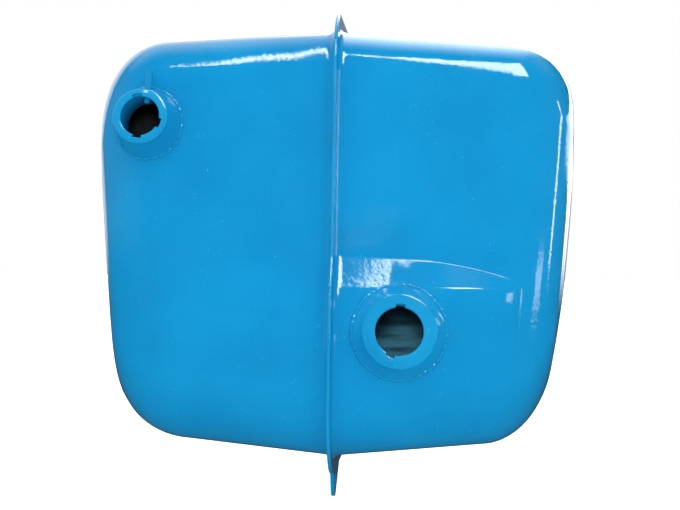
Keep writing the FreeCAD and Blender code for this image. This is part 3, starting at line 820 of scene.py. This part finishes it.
def build_shells():
    filler_base, filler_axis = neck_place("filler_neck_mouth", FILLER)
    pressure_base, pressure_axis = neck_place("pressure_neck_mouth", PRESSURE)
    bolts = [((-5.0, y, z), (1, 0, 0), BOLT_HOLE_R, 0.0, 10.0) for y, z in BOLT_CENTRES]
    plans = [
        ("left_shell", LEFT, "left_half_shell", INSIDE_LEFT_PAINTED_SHADE,
         [(pressure_base, pressure_axis, PRESSURE["tube_r"], -20.0, 20.0),
          (back_base("feed_pipe_end"), (0, 1, 0), 16.0, -12.0, 12.0)]),
        ("right_shell", RIGHT, "right_half_shell", INSIDE_RIGHT_PAINTED_LIGHT,
         [(filler_base, filler_axis, FILLER["tube_r"], -20.0, 20.0),
          (back_base("upper_vent_end"), (0, 1, 0), 5.0, -12.0, 12.0),
          (back_base("lower_vent_end"), (0, 1, 0), 5.0, -12.0, 12.0)]),
    ]
    for name, half, node, inside_painted_light_and_shade, holes in plans:
        piece = half_shell(name, half, holes + bolts, inside_painted_light_and_shade)
        finish_piece(piece, ENAMEL, "shell_paint", node)
    rim_weld = seam_bead("seam_bead_front")
    finish_piece(rim_weld, WELD_ENAMEL, "weld_paint", "seam_weld_front")


def build_necks():
    necks = (("filler", FILLER, RIGHT, 46), ("pressure", PRESSURE, LEFT, 34))
    for word, neck, half, lumps in necks:
        base, axis = neck_place(word + "_neck_mouth", neck)
        lip = neck_lip(word + "_lip", neck, base, axis)
        finish_piece(lip, NECK_ENAMEL, "neck_paint", word + "_neck_lip")
        tube = neck_tube(word + "_tube", neck, base, axis)
        finish_piece(tube, NECK_ENAMEL, "neck_paint", word + "_neck_tube")
        collar = neck_collar(word + "_collar", neck, half, base, axis)
        finish_piece(collar, NECK_ENAMEL, "neck_paint", word + "_neck_collar")
        weld = foot_weld(word + "_weld", half, base, axis, neck["base_r"] + 0.4, 1.25, lumps, lumps)
        finish_piece(weld, WELD_ENAMEL, "weld_paint", word + "_neck_weld")
        drops = spatter(word + "_weld_spatter", half, base, axis, neck["base_r"] - 1.5, 3.2, 90, 7)
        finish_piece(drops, WELD_ENAMEL, "weld_paint")


def repaint_cad_nodes():
    """The remaining nodes keep their own meshes and take the paint of their slot."""
    paints = {"shell_paint": ENAMEL, "neck_paint": NECK_ENAMEL, "weld_paint": WELD_ENAMEL,
              "pipe_paint": PIPE_ENAMEL}
    slots = {p["node"]: p["material_slot"] for p in frame["record"]["subparts"]}
    for node, piece in frame["nodes"].items():
        piece.data.materials.clear()
        piece.data.materials.append(paints[slots[node]])


# ---------------------------------------------------------------- studio


def off(aim, turn, lift, distance):
    """A place seen from a point at a turn to the right and a lift, both in degrees."""
    turn, lift = np.radians(turn), np.radians(lift)
    away = Vector((np.sin(turn) * np.cos(lift), -np.cos(turn) * np.cos(lift), np.sin(lift)))
    return Vector(aim) + away * distance


def softbox(name, centre, facing, width, height, brightness, seen_in, roll=0.0):
    """A rectangular lamp whose back points along facing, rolled about that direction.

    Its power is brightness * pi * area.  It lights the vessel's colour ("body") or shows in
    its gloss ("gloss"), so that each can be set by itself.
    """
    lamp = bpy.data.lights.new(name, "AREA")
    lamp.shape = "RECTANGLE"
    lamp.size = width
    lamp.size_y = height
    lamp.energy = brightness * np.pi * width * height
    holder = bpy.data.objects.new(name, lamp)
    holder.location = centre
    turned = Vector(facing).to_track_quat("Z", "Y").to_matrix() @ Matrix.Rotation(roll, 3, "Z")
    holder.rotation_euler = turned.to_euler()
    holder.visible_glossy = seen_in == "gloss"
    holder.visible_diffuse = seen_in == "body"
    holder.visible_camera = False
    bpy.context.scene.collection.objects.link(holder)


def facing_box(name, aim, turn, lift, distance, width, height, brightness):
    """A lamp for the body's colour that faces its aim from a turn and a lift."""
    centre = off(aim, turn, lift, distance)
    softbox(name, centre, centre - Vector(aim), width, height, brightness, "body")


def worked(tree, operation, first, second=0.0, third=0.0):
    """One arithmetic node; each input may be a socket or a number."""
    node = tree.nodes.new("ShaderNodeMath")
    node.operation = operation
    for socket, value in zip(node.inputs, (first, second, third)):
        if isinstance(value, float):
            socket.default_value = value
        else:
            tree.links.new(value, socket)
    return node.outputs[0]


def eased(tree, value, low, high, from_level=0.0, to_level=1.0):
    node = tree.nodes.new("ShaderNodeMapRange")
    node.interpolation_type = "SMOOTHSTEP"
    tree.links.new(value, node.inputs["Value"])
    for name, level in (("From Min", low), ("From Max", high), ("To Min", from_level),
                        ("To Max", to_level)):
        node.inputs[name].default_value = level
    return node.outputs["Result"]


def build_air():
    """White to look at; in the gloss, a dim room with a bright sheet behind the vessel."""
    world = bpy.data.worlds.new("studio_air")
    bpy.context.scene.world = world
    world.use_nodes = True
    tree = world.node_tree
    split = tree.nodes.new("ShaderNodeSeparateXYZ")
    tree.links.new(tree.nodes.new("ShaderNodeTexCoord").outputs["Generated"], split.inputs[0])
    x, y, z = split.outputs
    # Behind the vessel, a bright sheet whose edge comes nearer low on the right.
    level = worked(tree, "SUBTRACT", eased(tree, z, 0.0, 0.05), eased(tree, z, 0.12, 0.22))
    edge = worked(tree, "MULTIPLY_ADD", level, -0.5, 0.45)
    edge = worked(tree, "MULTIPLY", edge, eased(tree, x, 0.15, 0.45))
    reach = worked(tree, "SUBTRACT", worked(tree, "MULTIPLY_ADD", x, 0.146, y), edge)
    behind = eased(tree, reach, 0.48, 0.57)
    # Overhead, a glow that fades to the right.
    glow = eased(tree, y, -0.22, 0.50)
    glow = worked(tree, "MULTIPLY", glow, eased(tree, z, 0.45, 0.80))
    glow = worked(tree, "MULTIPLY", glow, eased(tree, x, 0.16, 0.50, 1.0, 0.10))
    # Both are stronger on the right, and dim straight behind.
    sheet = worked(tree, "MAXIMUM", behind, glow)
    sheet = worked(tree, "MULTIPLY", sheet, eased(tree, x, -0.16, -0.04, 1.3, 5.0))
    sheet = worked(tree, "MULTIPLY", sheet, eased(tree, y, 0.90, 0.975, 1.0, 0.04))
    # Faint side walls, all of it above the floor, over an even low level.
    side = worked(tree, "ADD", eased(tree, x, 0.75, 0.98, 0.0, 0.08),
                  eased(tree, x, -0.95, -0.55, 0.22, 0.0))
    room = worked(tree, "MULTIPLY", worked(tree, "MAXIMUM", sheet, side),
                  eased(tree, z, -0.06, 0.0))
    room = worked(tree, "ADD", room, 0.045)
    lit = tree.nodes["Background"]
    lit.inputs["Color"].default_value = (0.97, 0.98, 1.0, 1)
    tree.links.new(room, lit.inputs["Strength"])
    plain = tree.nodes.new("ShaderNodeBackground")
    plain.inputs["Color"].default_value = (1, 1, 1, 1)
    path = tree.nodes.new("ShaderNodeLightPath")
    body = tree.nodes.new("ShaderNodeBackground")
    body.inputs["Color"].default_value = (1, 1, 1, 1)
    body.inputs["Strength"].default_value = 0.72
    first = tree.nodes.new("ShaderNodeMixShader")
    tree.links.new(path.outputs["Is Glossy Ray"], first.inputs[0])
    tree.links.new(body.outputs[0], first.inputs[1])
    tree.links.new(lit.outputs[0], first.inputs[2])
    second = tree.nodes.new("ShaderNodeMixShader")
    tree.links.new(path.outputs["Is Camera Ray"], second.inputs[0])
    tree.links.new(first.outputs[0], second.inputs[1])
    tree.links.new(plain.outputs[0], second.inputs[2])
    tree.links.new(second.outputs[0], tree.nodes["World Output"].inputs["Surface"])


def build_floor():
    """A pale floor at the lug's tip, lit from within so that it ends in white."""
    low = CAD_BOX[0][2]
    size = 12.0
    mesh = bpy.data.meshes.new("studio_floor")
    corners = [(-size, -size, low), (size, -size, low), (size, size, low), (-size, size, low)]
    mesh.from_pydata(corners, [], [(0, 1, 2, 3)])
    floor = bpy.data.objects.new("studio_floor", mesh)
    bpy.context.scene.collection.objects.link(floor)
    pale = bpy.data.materials.new("pale_floor")
    pale.use_nodes = True
    tree = pale.node_tree
    shader = tree.nodes["Principled BSDF"]
    place_on = tree.nodes.new("ShaderNodeTexCoord").outputs["Object"]
    tone = ramp(tree, noise(tree, 3.0, 3.0, place_on), [(0.3, grey(0.88)), (0.7, grey(0.93))])
    tree.links.new(tone, shader.inputs["Base Color"])
    shader.inputs["Emission Color"].default_value = (1, 1, 1, 1)
    shader.inputs["Emission Strength"].default_value = 1.0
    shader.inputs["Roughness"].default_value = 0.9
    shader.inputs["Specular IOR Level"].default_value = 0.1
    floor.data.materials.append(pale)
    floor.visible_glossy = False
    floor.visible_diffuse = False


def build_studio():
    build_floor()
    build_air()
    for lamp in BODY_LAMPS:
        facing_box(*lamp)
    for name, centre, width, height, brightness in GLOSS_LAMPS:
        facing = Vector(centre) - Vector(MIDDLE)
        softbox(name, centre, facing, width, height, brightness, "gloss")
    softbox("ceiling_tube", (-0.74, -1.46, 3.15), (0, 0, 1), 0.17, 2.3, 18.0, "gloss", -0.33)
    bpy.context.scene.view_settings.view_transform = "Standard"


def build_camera():
    """Level camera a little to the right of the seam, rolled a touch."""
    turn, roll = np.radians(3.5), np.radians(0.781)
    target = np.array([0.765, -135.0, -10.3]) * MM
    away = np.array([np.sin(turn), -np.cos(turn), 0.0])
    right = np.array([np.cos(turn), np.sin(turn), 0.0])
    up = np.array([0.0, 0.0, 1.0])
    rolled_right = np.cos(roll) * right + np.sin(roll) * up
    rolled_up = np.cos(roll) * up - np.sin(roll) * right
    lens = bpy.data.cameras.new("view")
    lens.sensor_width = 36.0
    lens.lens = 79.75
    lens.clip_start = 0.01
    camera = bpy.data.objects.new("view", lens)
    where = target + away * 1.3
    turned = np.column_stack([rolled_right, rolled_up, away])
    camera.matrix_world = Matrix.Translation(where) @ Matrix(turned.tolist()).to_4x4()
    bpy.context.scene.collection.objects.link(camera)
    bpy.context.scene.camera = camera


build_shells()
build_necks()
repaint_cad_nodes()
build_studio()
build_camera()
